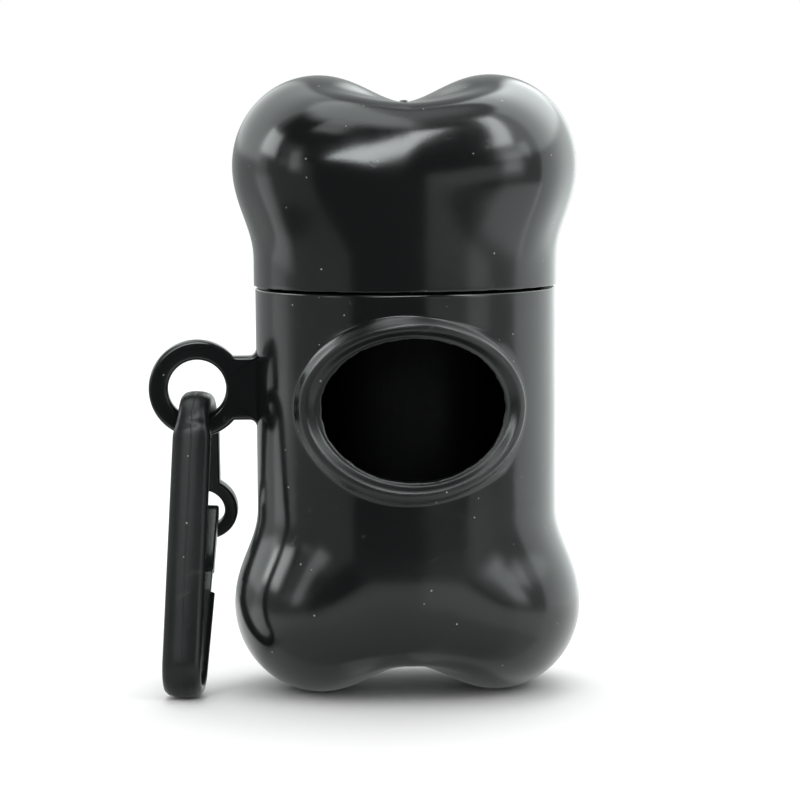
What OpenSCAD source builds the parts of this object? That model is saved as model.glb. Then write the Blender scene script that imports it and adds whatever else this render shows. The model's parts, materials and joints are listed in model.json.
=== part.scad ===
// Bone-shaped dispenser for waste bags: a hollow bone in two halves that screw
// together at the neck, with a mouth in the front, an ear at the side that
// carries a spring clip, and a roll of bags on a paper tube inside.
// Frame: +Z up, the mouth looks towards -Y, the ear points to -X.  The origin
// is on the bone's axis, at the surface that the two lower lobes stand on.

/* [Bone] */
// Height of the whole bone, from the feet to the tops of the upper lobes
bone_h = 85; // [78:0.5:100]
// Width across the two lower lobes, the widest part of the bone
bone_w = 48.1; // [46:0.1:56]
// How much narrower the cap is across its two lobes
cap_taper = 0.6; // [0:0.1:1.5]
// Diameter of the straight round neck
neck_d = 41.5; // [38:0.1:44]
// Half width of one lobe, side to side
lobe_rx = 11.9; // [10:0.1:14]
// Half depth of one lobe, front to back
lobe_ry = 17.6; // [15:0.1:20]
// Half height of one lobe
lobe_rz = 12.3; // [11:0.1:14]
// How far the saddle between two lobes lies below their tops
saddle_drop = 3.9; // [2:0.1:7]
// Rounding of the neck's ends, where they show between the lobes
end_round = 9; // [5:0.5:12]
// Width over which lobes and neck melt into each other
blend_w = 3.6; // [1:0.1:6]
// Thickness of the moulded wall
wall = 1.6; // [1.2:0.1:2.4]
// Depth that is pressed flat under each foot, so that the bone stands
foot_cut = 0.4; // [0.2:0.05:0.8]

/* [Cap] */
// Height of the cap, from the seam to the tops of the upper lobes
cap_h = 28.5; // [27:0.1:30]
// Open line at the seam
seam_gap = 0.3; // [0.2:0.05:0.6]
// How far the cap's skirt stands out past the body's neck
cap_proud = 0.2; // [0:0.05:0.6]
// Height of the threaded collar above the seam
collar_h = 8; // [5:0.5:10]
// Wall of the threaded collar
collar_wall = 1.4; // [1:0.1:2]
// Room for the thread between the collar and the cap
thread_room = 0.8; // [0.5:0.1:1.2]
// Thickness of the shoulder that carries the collar
shoulder_t = 2; // [1.5:0.1:3]
// Rounded edge of the shoulder and of the skirt at the seam
edge_round = 0.4; // [0.2:0.05:0.8]

/* [Mouth] */
// Width of the opening that the bags come out of
mouth_w = 25.1; // [18:0.1:27]
// Height of the opening
mouth_h = 19.2; // [14:0.1:20]
// Distance from the body's shoulder down to the opening's centre
mouth_drop = 15.5; // [14.5:0.1:17]
// Width of the flat lip between the opening and the bead
lip_w = 0.7; // [0.4:0.1:1.2]
// Width of the raised bead round the lip
bead_w = 1.9; // [1.2:0.1:2.6]
// Height of the bead above the neck
bead_h = 1.2; // [0.6:0.1:2]

/* [Ear] */
// Height of the ear's centre above the floor
ear_z = 42; // [38:0.1:45]
// Distance from the neck's surface to the ear's centre
ear_reach = 8.2; // [7:0.1:11]
// Outer radius of the ear
ear_r = 6.7; // [6.2:0.1:8]
// Radius of the hole in the ear
ear_hole_r = 4; // [3.9:0.1:4.6]
// Thickness of the ear, front to back
ear_t = 3.3; // [2.4:0.1:3.6]
// Rounding of the ear's edges
ear_round = 0.5; // [0.3:0.1:0.8]
// Height of the web that joins the ear to the neck
ear_web_h = 8.8; // [6:0.1:11]
// Fillet between the web and the neck
ear_fillet = 1; // [0.5:0.1:2]

/* [Clip] */
// Width of the clip's bar
clip_w = 5.3; // [4:0.05:5.4]
// Thickness of the clip's bar at its ridge
clip_t = 2.3; // [2:0.1:2.8]
// Radius of the bow that hangs in the ear, at the bar's middle
bow_r = 5.8; // [5.6:0.1:8]
// Length of the straight spine
spine_l = 30.45; // [26:0.1:34]
// Radius of the bow at the bottom
foot_bow_r = 3.8; // [3.5:0.1:5]
// Slant of the back bar, inwards to the bottom bow
back_slant = 21; // [16:0.5:24]
// Length of the back bar, from the bottom bow to the gate's root
back_l = 11.8; // [8:0.1:12]
// Slant of the strut and of the catch ring that ends it
strut_slant = 29; // [24:1:32]
// Free length of the strut above the catch ring
strut_l = 8.2; // [6:0.1:10]
// Width of the strut
strut_w = 4.6; // [3.5:0.1:5]
// Outer radius of the catch ring
catch_r = 4.75; // [4.2:0.05:5.5]
// Radius of the hole in the catch ring
catch_hole_r = 2.9; // [2:0.1:3.2]
// Thickness of the strut and of the catch ring
catch_t = 1.7; // [1.4:0.1:1.8]
// Turn of the hanging clip about the vertical
clip_yaw = 7.5; // [0:0.5:12]
// Sideways tilt of the hanging clip, away from the bone
clip_tilt = 2; // [0:0.2:4]
// Clearance between the bar and the ear that it hangs in
hang_gap = 0.3; // [0.2:0.05:0.6]

/* [Gate] */
// Width of the gate
gate_w = 4.5; // [3.5:0.1:5]
// Thickness of the gate
gate_t = 1.9; // [1.4:0.1:2.2]
// Clearance between the gate and what it closes on
gate_gap = 0.3; // [0.2:0.05:0.5]
// How far the gate's tip reaches up past the middle of the catch ring
gate_reach = 1.3; // [0:0.1:2]
// Thickness of the thin web that the gate bends at
hinge_t = 0.9; // [0.6:0.1:1.2]
// Length of that web
hinge_l = 3; // [2:0.1:4]

/* [Roll] */
// Outer diameter of the roll of bags
roll_d = 24; // [16:0.5:28]
// Length of the roll, the width of a folded bag
roll_l = 60; // [50:0.5:64]
// Outer diameter of the paper tube
core_d = 12.4; // [11:0.1:15]
// Wall of the paper tube
core_wall = 1.2; // [0.8:0.1:1.6]
// How far the tube stands out of the roll at each end
core_proud = 0.2; // [0:0.1:1]
// Room between the standing roll and the bone's bottom
roll_gap = 0.3; // [0.2:0.1:1]
// Rounding of the roll's outer edges
roll_round = 0.5; // [0.2:0.1:1]

/* [Hidden] */
$fn = 96;
over = 0.01;
large = 200;

neck_r = neck_d / 2;
cap_r = neck_r + cap_proud;
collar_r = cap_r - wall - thread_room;
lobe_z = lobe_rz - foot_cut;
saddle_z = saddle_drop - foot_cut;
top_z = bone_h - foot_cut;
seam_z = top_z - cap_h - seam_gap;
mouth_z = seam_z - mouth_drop;
// Above this height a bone end is a plain round neck.  It runs on as a tongue
// in the wall of the straight neck, a little below its surface.
join_z = lobe_z + lobe_rz + blend_w / 2;
tongue_l = 1;
tuck = 0.03;
end_top = join_z + tongue_l;
// A bone end is described by its neck's radius and its lobes' distance from
// the middle
lower_end = [neck_r - tuck, bone_w / 2 - lobe_rx];
cap_end = [cap_r - tuck, (bone_w - cap_taper) / 2 - lobe_rx];
end_sides = 64;
neck_rows = 5;
fan_rows = 12;
halvings = 18;

ear_x = -neck_r - ear_reach;
ear_band = ear_r - ear_hole_r;
// The clip swings about the middle of the ear's lower band
swing_z = ear_z - ear_hole_r - ear_band / 2;

// The bar's section: a narrow outer face with a faint ridge, sides drafted for
// the mould, and a narrow inner face to sit in the round hole.  Outwards,
// sideways.
bar_half = [[0.5 * clip_t, 0], [0.45 * clip_t, 0.36 * clip_w], [0.06 * clip_t, 0.5 * clip_w],
    [-0.06 * clip_t, 0.5 * clip_w], [-0.46 * clip_t, 0.32 * clip_w], [-0.5 * clip_t, 0]];
bar_section = concat(bar_half, [for (i = [4:-1:1]) [bar_half[i].x, -bar_half[i].y]]);
// Height of the bar's middle above the swing axis, clear of the round hole and
// of the ear's two faces; turned and tilted, the bar takes more of its width
hole_free = ear_hole_r - hang_gap;
function turned(side) = side / cos(clip_yaw) + ear_t / 2 * tan(clip_yaw)
    + (ear_z - swing_z) * tan(clip_tilt);
hole_seat = max([for (p = bar_half)
    -p.x - sqrt(max(hole_free * hole_free - turned(p.y) * turned(p.y), 0))]);
bow_inner_r = bow_r - clip_t / 2;
bow_sag = bow_inner_r - sqrt(bow_inner_r * bow_inner_r - ear_t * ear_t / 4);
bar_lift = ear_z - swing_z + hole_seat + bow_sag;
bow_drop = bow_r - bar_lift;

bow_step_angle = 6;

// The clip leans forward until its bottom bow meets the floor
reach_down = swing_z / cos(clip_tilt) - bow_drop - foot_bow_r - clip_t / 2;
bow_step = bow_r - foot_bow_r;
clip_lean = acos(min(reach_down / norm([spine_l, bow_step]), 1)) - atan2(bow_step, spine_l);

// Middle line of the clip, seen from its side: x forward, y up, from the
// swing axis
bow_at = -bow_drop * [sin(clip_lean), cos(clip_lean)];
foot_bow_at = bow_at + [bow_step, -spine_l];
back_out = [-cos(back_slant), -sin(back_slant)];
back_up = [-sin(back_slant), cos(back_slant)];
back_foot = foot_bow_at + foot_bow_r * back_out;
back_root = back_foot + back_l * back_up;
strut_turn = 180 - strut_slant;
strut_out = [cos(strut_turn), sin(strut_turn)];
strut_down = [-sin(strut_turn), cos(strut_turn)];
strut_top = bow_at + bow_r * strut_out;
catch_at = strut_top + (strut_l + catch_r) * strut_down;
catch_wall = catch_r - catch_hole_r;

// Middle line of the gate
gate_tip = catch_at - (catch_t / 2 + gate_gap + gate_t / 2) * strut_out
    + (gate_t / 2 - gate_reach) * strut_down;
hinge_at = back_root + gate_gap * back_up;
gate_root = hinge_at + hinge_l * back_up;

roll_z = saddle_z + wall + roll_gap + core_proud;
core_fit = 0.05;

// The bone's end as a field that is negative inside: a rounded neck end and
// two ellipsoids that melt together over blend_w
function melt(a, b) =
    let (share = max(blend_w - abs(a - b), 0) / blend_w)
    min(a, b) - share * share * blend_w / 4;
function lobe_field(p, lobe_x) =
    let (r = [lobe_rx, lobe_ry, lobe_rz],
         q = [(abs(p.x) - lobe_x) / r.x, p.y / r.y, (p.z - lobe_z) / r.z],
         size = norm(q),
         slope = norm([q.x / r.x, q.y / r.y, q.z / r.z]))
    slope == 0 ? -lobe_rx : size * (size - 1) / slope;
function neck_field(p, r) =
    let (out = norm([p.x, p.y]) - (r - end_round),
         under = saddle_z + end_round - p.z)
    min(max(out, under), 0) + norm([max(out, 0), max(under, 0)]) - end_round;
function end_field(p, end) = melt(lobe_field(p, end[1]), neck_field(p, end[0]));

// The point where a ray leaves the field at a given level, by halving
function on_ray(start, way, level, end, near = 0, far = bone_w, left = halvings) =
    let (mid = (near + far) / 2)
    left == 0 ? start + way * mid :
    end_field(start + way * mid, end) < level ?
        on_ray(start, way, level, end, mid, far, left - 1) :
        on_ray(start, way, level, end, near, mid, left - 1);

// Rows of such points: level rays down the neck, then a fan about the lobes
function end_rows(level, end) = [
    for (row = [0:neck_rows + fan_rows - 1], side = [0:end_sides - 1])
        let (down = max(row - neck_rows, 0) * 90 / fan_rows,
             z = end_top + (lobe_z - end_top) * min(row / neck_rows, 1),
             turn = side * 360 / end_sides,
             way = [cos(turn) * cos(down), sin(turn) * cos(down), -sin(down)])
        on_ray([0, 0, z], way, level, end)];

// One hollow bone end: an outer skin, an inner skin, and the flat ring that
// joins them
module bone_end(end) {
    ring = (neck_rows + fan_rows) * end_sides;
    last = ring - end_sides;
    tips = [for (level = [0, -wall]) on_ray([0, 0, lobe_z], [0, 0, -1], level, end)];
    function next(side) = (side + 1) % end_sides;
    skin = [for (row = [0:end_sides:last - end_sides], side = [0:end_sides - 1])
        let (a = row + side, b = row + next(side))
        each [[a, b, b + end_sides], [a, b + end_sides, a + end_sides]]];
    tip_fan = [for (side = [0:end_sides - 1]) [last + side, last + next(side), 2 * ring]];
    rim = [for (side = [0:end_sides - 1])
        each [[ring + side, ring + next(side), next(side)], [ring + side, next(side), side]]];
    polyhedron(
        points = concat(end_rows(0, end), end_rows(-wall, end), tips),
        faces = concat(skin, tip_fan, rim,
            [for (f = skin) [f[2] + ring, f[1] + ring, f[0] + ring]],
            [for (f = tip_fan) [2 * ring + 1, f[1] + ring, f[0] + ring]]));
}

function arc(at, r, from, to, steps) =
    [for (i = [0:steps]) let (a = from + (to - from) * i / steps) at + r * [cos(a), sin(a)]];
function oval(half_w, half_h, steps) =
    [for (i = [0:steps - 1]) [half_w * cos(i * 360 / steps), half_h * sin(i * 360 / steps)]];

// The straight neck with its shoulder and the collar for the thread
module neck_tube() {
    rotate_extrude() polygon(concat(
        [[neck_r - wall, join_z], [neck_r, join_z]],
        arc([neck_r - edge_round, seam_z - edge_round], edge_round, 0, 90, 4),
        [[collar_r, seam_z], [collar_r, seam_z + collar_h],
         [collar_r - collar_wall, seam_z + collar_h],
         [collar_r - collar_wall, seam_z - shoulder_t],
         [neck_r - wall, seam_z - shoulder_t - wall]]));
}

// The bead round the mouth: a half round on short upright sides, swept along
// an oval on the neck and rooted in its wall
module mouth_bead() {
    stations = 48;
    side_h = bead_h / 4;
    root_h = -wall / 3;
    half_round = concat([[lip_w, root_h]],
        [for (a = [180:-30:0])
            [lip_w + bead_w / 2 * (1 + cos(a)), side_h + (bead_h - side_h) * sin(a)]],
        [[lip_w + bead_w, root_h]]);
    count = len(half_round);
    points = [for (i = [0:stations - 1], p = half_round)
        let (t = i * 360 / stations,
             x = (mouth_w / 2 + p.x) * cos(t),
             z = mouth_z + (mouth_h / 2 + p.x) * sin(t),
             grow = 1 + p.y / neck_r)
        [x * grow, -sqrt(neck_r * neck_r - x * x) * grow, z]];
    faces = [for (i = [0:stations - 1], k = [0:count - 1])
        let (j = (i + 1) % stations,
             m = (k + 1) % count,
             a = i * count + k, b = i * count + m, c = j * count + m, d = j * count + k)
        each [[c, b, a], [d, c, a]]];
    polyhedron(points = points, faces = faces);
}

module mouth_hole() {
    translate([0, 0, mouth_z]) rotate([90, 0, 0])
        linear_extrude(neck_r + 2 * bead_h) polygon(oval(mouth_w / 2, mouth_h / 2, 72));
}

module ear_ring() {
    half_t = ear_t / 2;
    translate([ear_x, 0, ear_z]) rotate([90, 0, 0])
        rotate_extrude() polygon([
            [ear_hole_r, ear_round - half_t], [ear_hole_r + ear_round, -half_t],
            [ear_r - ear_round, -half_t], [ear_r, ear_round - half_t],
            [ear_r, half_t - ear_round], [ear_r - ear_round, half_t],
            [ear_hole_r + ear_round, half_t], [ear_hole_r, half_t - ear_round]]);
}

// The web from the ear into the neck's wall, flared by a fillet above and below
module ear_web() {
    half_h = ear_web_h / 2;
    start = ear_hole_r + ear_band / 2;
    bend = ear_reach - ear_fillet;
    flare = arc([bend, half_h + ear_fillet], ear_fillet, -90, 0, 5);
    upper = concat([[start, half_h]], flare, [[ear_reach + wall / 2, half_h + ear_fillet]]);
    lower = [for (i = [len(upper) - 1:-1:0]) [upper[i].x, -upper[i].y]];
    translate([ear_x, ear_t / 2, ear_z]) rotate([90, 0, 0])
        linear_extrude(ear_t) polygon(concat(upper, lower));
}

module lower_shell() {
    color("#1b1d1d") difference() {
        union() {
            bone_end(lower_end);
            neck_tube();
            mouth_bead();
            ear_ring();
            ear_web();
        }
        mouth_hole();
        translate([-large / 2, -large / 2, -large]) cube(large);
    }
}

module cap_shell() {
    skirt_z = seam_z + seam_gap;
    color("#1b1d1d") union() {
        translate([0, 0, top_z]) mirror([0, 0, 1]) bone_end(cap_end);
        rotate_extrude() polygon(concat(
            [[cap_r - wall, top_z - join_z], [cap_r - wall, skirt_z]],
            arc([cap_r - edge_round, skirt_z + edge_round], edge_round, -90, 0, 4),
            [[cap_r, top_z - join_z]]));
    }
}

// The clip's side view, x forward and y up, set in the ear and leaned forward
module in_ear() {
    translate([ear_x, 0, swing_z]) rotate([0, clip_tilt, 0]) rotate([0, 0, -clip_yaw])
        rotate([90, 0, -90]) rotate([0, 0, clip_lean]) children();
}

// Stations of the bar's middle line: a point and the angle of the outer face
function bow_stations(at, r, from, to) =
    let (steps = ceil(abs(to - from) / bow_step_angle))
    [for (i = [0:steps]) let (a = from + (to - from) * i / steps) [at + r * [cos(a), sin(a)], a]];

// The bar in one run: from the strut round the top bow, down the spine, round
// the bottom bow and up to the gate's root
module bent_bar() {
    line = concat(bow_stations(bow_at, bow_r, strut_turn, 0),
        bow_stations(foot_bow_at, foot_bow_r, 0, back_slant - 180),
        [[back_root, back_slant - 180]]);
    sides = len(bar_section);
    last = (len(line) - 1) * sides;
    points = [for (station = line, p = bar_section)
        let (at = station[0] + p.x * [cos(station[1]), sin(station[1])]) [at.x, at.y, p.y]];
    skin = [for (row = [0:sides:last - sides], k = [0:sides - 1])
        let (a = row + k, b = row + (k + 1) % sides)
        each [[a, a + sides, b + sides], [a, b + sides, b]]];
    ends = [[for (k = [0:sides - 1]) k], [for (k = [sides - 1:-1:0]) last + k]];
    polyhedron(points = points, faces = concat(skin, ends));
}

// The strut and the catch ring, flat, with the strut's top end in the bow
module catch_plate() {
    buried = bow_r / 6;
    strut_run = buried + strut_l + catch_wall / 2;
    translate(catch_at) rotate([0, 0, strut_turn]) {
        rotate([0, 90, 0]) cylinder(h = catch_t, r = catch_r, center = true);
        translate([-catch_t / 2, -catch_r - strut_l - buried, -strut_w / 2])
            cube([catch_t, strut_run, strut_w]);
    }
}

module clip_frame() {
    color("#232525") in_ear() {
        difference() {
            union() {
                bent_bar();
                catch_plate();
            }
            translate(catch_at) rotate([0, 0, strut_turn]) rotate([0, 90, 0])
                cylinder(h = 2 * clip_t, r = catch_hole_r, center = true);
        }
    }
}

// A straight gate with a round tip, and the thin web under its root
module clip_gate() {
    way = (gate_tip - gate_root) / norm(gate_tip - gate_root);
    turn = atan2(way.y, way.x);
    side = gate_t / 2 * [-way.y, way.x];
    web_side = hinge_t / 2 * [-back_up.y, back_up.x];
    outline = concat(
        arc(gate_tip, gate_t / 2, turn - 90, turn + 90, 12),
        [gate_root + side, gate_root + web_side, hinge_at + web_side,
         hinge_at - web_side, gate_root - web_side, gate_root - side]);
    color("#232525") in_ear()
        translate([0, 0, -gate_w / 2]) linear_extrude(gate_w) polygon(outline);
}

module bag_roll() {
    roll_r = roll_d / 2;
    bore_r = core_d / 2 + core_fit;
    color("#141515") translate([0, 0, roll_z]) rotate_extrude() polygon(concat(
        [[bore_r, 0]],
        arc([roll_r - roll_round, roll_round], roll_round, -90, 0, 4),
        arc([roll_r - roll_round, roll_l - roll_round], roll_round, 0, 90, 4),
        [[bore_r, roll_l]]));
}

module roll_core() {
    color("#a98a63") translate([0, 0, roll_z - core_proud]) difference() {
        cylinder(h = roll_l + 2 * core_proud, d = core_d);
        translate([0, 0, -over]) cylinder(h = roll_l + 2 * core_proud + 2 * over,
            d = core_d - 2 * core_wall);
    }
}

lower_shell();
cap_shell();
clip_frame();
clip_gate();
bag_roll();
roll_core();
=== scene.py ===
"""A bone-shaped waste bag dispenser in glossy black plastic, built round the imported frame."""
import json
import math

import bmesh
import bpy
import numpy as np
from mathutils import Matrix, Vector


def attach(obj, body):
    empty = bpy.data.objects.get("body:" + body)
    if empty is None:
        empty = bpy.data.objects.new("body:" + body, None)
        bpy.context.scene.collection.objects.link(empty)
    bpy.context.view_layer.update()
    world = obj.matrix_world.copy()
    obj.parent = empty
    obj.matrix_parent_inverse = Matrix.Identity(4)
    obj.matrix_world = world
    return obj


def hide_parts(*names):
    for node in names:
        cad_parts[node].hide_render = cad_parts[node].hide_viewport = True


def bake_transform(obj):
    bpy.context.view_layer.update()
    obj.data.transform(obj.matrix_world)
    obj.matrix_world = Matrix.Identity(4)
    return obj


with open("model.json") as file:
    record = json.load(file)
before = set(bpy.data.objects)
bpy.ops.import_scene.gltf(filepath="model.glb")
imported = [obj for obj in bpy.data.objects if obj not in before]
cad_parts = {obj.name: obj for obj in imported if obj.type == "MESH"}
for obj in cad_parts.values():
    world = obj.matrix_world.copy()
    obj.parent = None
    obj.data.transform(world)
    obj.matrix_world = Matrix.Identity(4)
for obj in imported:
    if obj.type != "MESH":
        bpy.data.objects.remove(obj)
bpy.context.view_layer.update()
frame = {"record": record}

MM = 0.001

# ---------------------------------------------------------------- sizes, in mm
# They repeat the named values of the part's source.  The bone's ends follow the photo's
# highlights more closely: lobes a little shallower from front to back, the cap's most, and a
# taller rounding of the neck.
BONE_H, BONE_W, CAP_TAPER = 85.0, 48.1, 0.6
NECK_R, WALL, FOOT_CUT = 20.75, 1.6, 0.4
LOBE, CAP_LOBE_DEPTH, FOOT_LOBE_DEPTH = np.array([11.9, 17.6, 12.3]), 16.0, 17.0
SADDLE_DROP, BLEND_W, CAP_FRONT_BLEND, FOOT_FRONT_BLEND = 3.9, 3.6, 4.4, 1.5
END_OUT, END_UP, FOOT_ARCH, FOOT_WALL = 7.0, 11.0, 1.45, 0.75
SEAM_Z, SEAM_GAP, CAP_PROUD = 55.8, 0.3, 0.2
COLLAR_H, COLLAR_WALL, THREAD_ROOM, SHOULDER_T = 8.0, 1.4, 0.8, 2.0
MOUTH_W, MOUTH_H, MOUTH_Z = 25.1, 19.2, 40.3
BEAD_TOP, SHOULDER_ROUND, SKIRT_ROUND, ROOT_ROUND, CROWN_ROUND = 1.05, 0.34, 0.14, 0.3, 0.25
THREAD_PITCH, THREAD_DEPTH = 2.7, 0.34
EAR_Z, EAR_REACH, EAR_R, EAR_HOLE_R = 42.0, 8.2, 6.7, 4.0
EAR_T, EAR_ROUND, EAR_WEB_H, EAR_FILLET = 3.3, 0.5, 8.8, 1.0
CLIP_W, CLIP_T, BOW_R, SPINE_L, FOOT_BOW_R = 5.3, 2.3, 5.8, 30.45, 3.8
BACK_SLANT, BACK_L, STRUT_SLANT, STRUT_L, STRUT_W = 21.0, 11.8, 29.0, 8.2, 4.6
CATCH_R, CATCH_HOLE_R, CATCH_T = 4.75, 2.9, 1.7
CLIP_YAW, CLIP_TILT, CLIP_LEAN, BAR_LIFT = 7.5, 2.0, 9.85765, 3.7357
BOW_WIDTH, BEND_SQUARE, CREASE_AT, CREASE_DEPTH = 0.8, 2.7, 17, 0.15
GATE_W, GATE_T, GATE_GAP, GATE_REACH, HINGE_T, HINGE_L = 4.5, 1.9, 0.3, 1.3, 0.9, 3.0
ROLL_R, ROLL_L, CORE_R, CORE_WALL, CORE_PROUD, ROLL_Z = 12.0, 60.0, 6.2, 1.2, 0.2, 5.6

CAP_R = NECK_R + CAP_PROUD
COLLAR_R = CAP_R - WALL - THREAD_ROOM
LOBE_Z = LOBE[2] - FOOT_CUT
SADDLE_Z = SADDLE_DROP - FOOT_CUT
JOIN_Z = LOBE_Z + LOBE[2] + BLEND_W / 2
TOP_Z = BONE_H - FOOT_CUT
SKIRT_Z = SEAM_Z + SEAM_GAP
FOOT_END = {"neck_r": NECK_R, "lobe_x": BONE_W / 2 - LOBE[0], "depth": FOOT_LOBE_DEPTH,
            "front_blend": FOOT_FRONT_BLEND, "arch": FOOT_ARCH}
CAP_END = {"neck_r": CAP_R, "lobe_x": (BONE_W - CAP_TAPER) / 2 - LOBE[0],
           "depth": CAP_LOBE_DEPTH, "front_blend": CAP_FRONT_BLEND, "arch": 0}
EAR_X = -NECK_R - EAR_REACH
SWING_Z = EAR_Z - EAR_HOLE_R - (EAR_R - EAR_HOLE_R) / 2


# ------------------------------------------------------------------ node tools
def socket(tree, name, kind, out=False, default=None):
    """Adds a named input or output to a node group."""
    made = tree.interface.new_socket(name=name, in_out="OUTPUT" if out else "INPUT",
                                     socket_type=kind)
    if default is not None:
        made.default_value = default


def node(tree, kind, inputs=None, **settings):
    """Adds a node; inputs maps an input's name or number to a value or to an output."""
    made = tree.nodes.new(kind)
    for key, value in settings.items():
        setattr(made, key, value)
    for key, value in (inputs or {}).items():
        target = made.inputs[key]
        if isinstance(value, bpy.types.NodeSocket):
            tree.links.new(value, target)
        else:
            target.default_value = value
    return made


def maths(tree, operation, a, b=0.0, c=0.0):
    """One Math node; each input is a number or an output."""
    return node(tree, "ShaderNodeMath", {0: a, 1: b, 2: c}, operation=operation).outputs[0]


def plus(tree, base, value, share):
    """The base with a share of the value added."""
    return maths(tree, "ADD", base, maths(tree, "MULTIPLY", value, share))


def noise(tree, place, scale, detail, **more):
    """A noise pattern, as a value for each place."""
    return node(tree, "ShaderNodeTexNoise",
                {"Vector": place, "Scale": scale, "Detail": detail, **more}).outputs[0]


def ramp(tree, value, low, high, to_low=0.0, to_high=1.0):
    """A smooth step of a value between two limits."""
    return node(tree, "ShaderNodeMapRange",
                {"Value": value, "From Min": low, "From Max": high,
                 "To Min": to_low, "To Max": to_high}, interpolation_type="SMOOTHSTEP").outputs[0]


def mix_colour(tree, share, first, second):
    """The first colour where share is 0, the second where it is 1."""
    made = node(tree, "ShaderNodeMix", {0: share, 6: (*first, 1), 7: (*second, 1)},
                data_type="RGBA")
    return made.outputs[2]


def shader_group(name, inputs, outputs):
    """A new shader group, with the outputs of its input node and the reverse."""
    tree = bpy.data.node_groups.new(name, "ShaderNodeTree")
    for label, kind, default in inputs:
        socket(tree, label, kind, default=default)
    for label, kind in outputs:
        socket(tree, label, kind, out=True)
    return (tree, tree.nodes.new("NodeGroupInput").outputs,
            tree.nodes.new("NodeGroupOutput").inputs)


# The relief of the black plastic, in metres, and how rub marks and dust look
WAVE_HEIGHT, GRAIN_HEIGHT, DUST_HEIGHT, RUB_DEPTH = 0.00012, 0.000004, 0.00002, 0.000006
PARTING_HALF, PARTING_FADE = 0.00004, 0.00013
DUST_COLOUR, DUST_DULL, RUB_PALE, RUB_DULL = (0.42, 0.42, 0.4), 0.4, 0.04, 0.18


def rub_marks():
    """Fine scratches in two directions: a mask where they are."""
    tree, given, out = shader_group("rub_marks", [
        ("Vector", "NodeSocketVector", None), ("Scale", "NodeSocketFloat", 900.0),
        ("Amount", "NodeSocketFloat", 0.5)], [("Mask", "NodeSocketFloat")])
    masks = []
    for turn, stretch, shift in ((0.9, 20.0, 0.0), (2.3, 14.0, 3.7)):
        turned = node(tree, "ShaderNodeMapping", {
            "Vector": given["Vector"], "Rotation": (0.5, turn, 0.6 * turn),
            "Location": (shift, 0, shift), "Scale": (1, 1, stretch)},
            vector_type="TEXTURE").outputs[0]
        lines = noise(tree, turned, given["Scale"], 2.0, Roughness=0.5)
        patches = noise(tree, given["Vector"], 160.0 + 60 * shift, 1.0)
        masks.append(maths(tree, "MULTIPLY", ramp(tree, lines, 0.67, 0.76),
                           ramp(tree, patches, 0.5, 0.62)))
    both = maths(tree, "MAXIMUM", *masks)
    tree.links.new(maths(tree, "MULTIPLY", both, given["Amount"]), out["Mask"])
    return tree


def dust_specks():
    """Scattered specks of dust: a mask."""
    tree, given, out = shader_group("dust_specks", [
        ("Vector", "NodeSocketVector", None), ("Scale", "NodeSocketFloat", 640.0),
        ("Size", "NodeSocketFloat", 0.085)], [("Mask", "NodeSocketFloat")])
    cells = node(tree, "ShaderNodeTexVoronoi", {
        "Vector": given["Vector"], "Scale": given["Scale"], "Randomness": 1.0})
    chosen = node(tree, "ShaderNodeTexWhiteNoise", {"Vector": cells.outputs["Position"]},
                  noise_dimensions="3D").outputs[0]
    size = maths(tree, "MULTIPLY", given["Size"], ramp(tree, chosen, 0.55, 1.0))
    inside = maths(tree, "LESS_THAN", cells.outputs["Distance"], size)
    tree.links.new(inside, out["Mask"])
    return tree


def moulded_skin():
    """The slow waves and the fine grain of moulded plastic, as a height in metres."""
    tree, given, out = shader_group("moulded_skin", [
        ("Vector", "NodeSocketVector", None), ("Waves", "NodeSocketFloat", 1.0),
        ("Grain", "NodeSocketFloat", 1.0)], [("Height", "NodeSocketFloat")])
    waves = noise(tree, given["Vector"], 70.0, 2.0, Roughness=0.45)
    grain = noise(tree, given["Vector"], 2600.0, 3.0)
    high = maths(tree, "MULTIPLY", waves, maths(tree, "MULTIPLY", given["Waves"], WAVE_HEIGHT))
    fine = maths(tree, "MULTIPLY", grain, maths(tree, "MULTIPLY", given["Grain"], GRAIN_HEIGHT))
    tree.links.new(maths(tree, "ADD", high, fine), out["Height"])
    return tree


RUBS, DUST, SKIN = rub_marks(), dust_specks(), moulded_skin()


def use(tree, group, **inputs):
    """Places a shader group in a material, and returns what it puts out."""
    return node(tree, "ShaderNodeGroup", inputs, node_tree=group).outputs[0]


def new_material(name):
    """A material with its tree, its main shader and the place on the object."""
    made = bpy.data.materials.new(name)
    made.use_nodes = True
    tree = made.node_tree
    place = node(tree, "ShaderNodeTexCoord").outputs["Object"]
    return made, tree, tree.nodes["Principled BSDF"], place


def bumped(tree, shader, height, strength=1.0):
    """Tilts the shader's surface as a height in metres asks for."""
    bump = node(tree, "ShaderNodeBump", {"Height": height, "Strength": strength, "Distance": 1.0})
    tree.links.new(bump.outputs[0], shader.inputs["Normal"])


def mouth_rim(tree, place):
    """A mask of the mouth's bead, which left the mould a little duller."""
    x, y, z = node(tree, "ShaderNodeSeparateXYZ", {"Vector": place}).outputs
    reach = 3.0
    across = maths(tree, "DIVIDE", x, (MOUTH_W / 2 + reach) * MM)
    above = maths(tree, "SUBTRACT", z, MOUTH_Z * MM)
    upward = maths(tree, "DIVIDE", above, (MOUTH_H / 2 + reach) * MM)
    away = maths(tree, "SQRT", maths(tree, "ADD", maths(tree, "MULTIPLY", across, across),
                                     maths(tree, "MULTIPLY", upward, upward)))
    return maths(tree, "MULTIPLY", ramp(tree, away, 0.94, 1.04, 1.0, 0.0),
                 ramp(tree, y, -0.004, 0.0, 1.0, 0.0))


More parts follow.
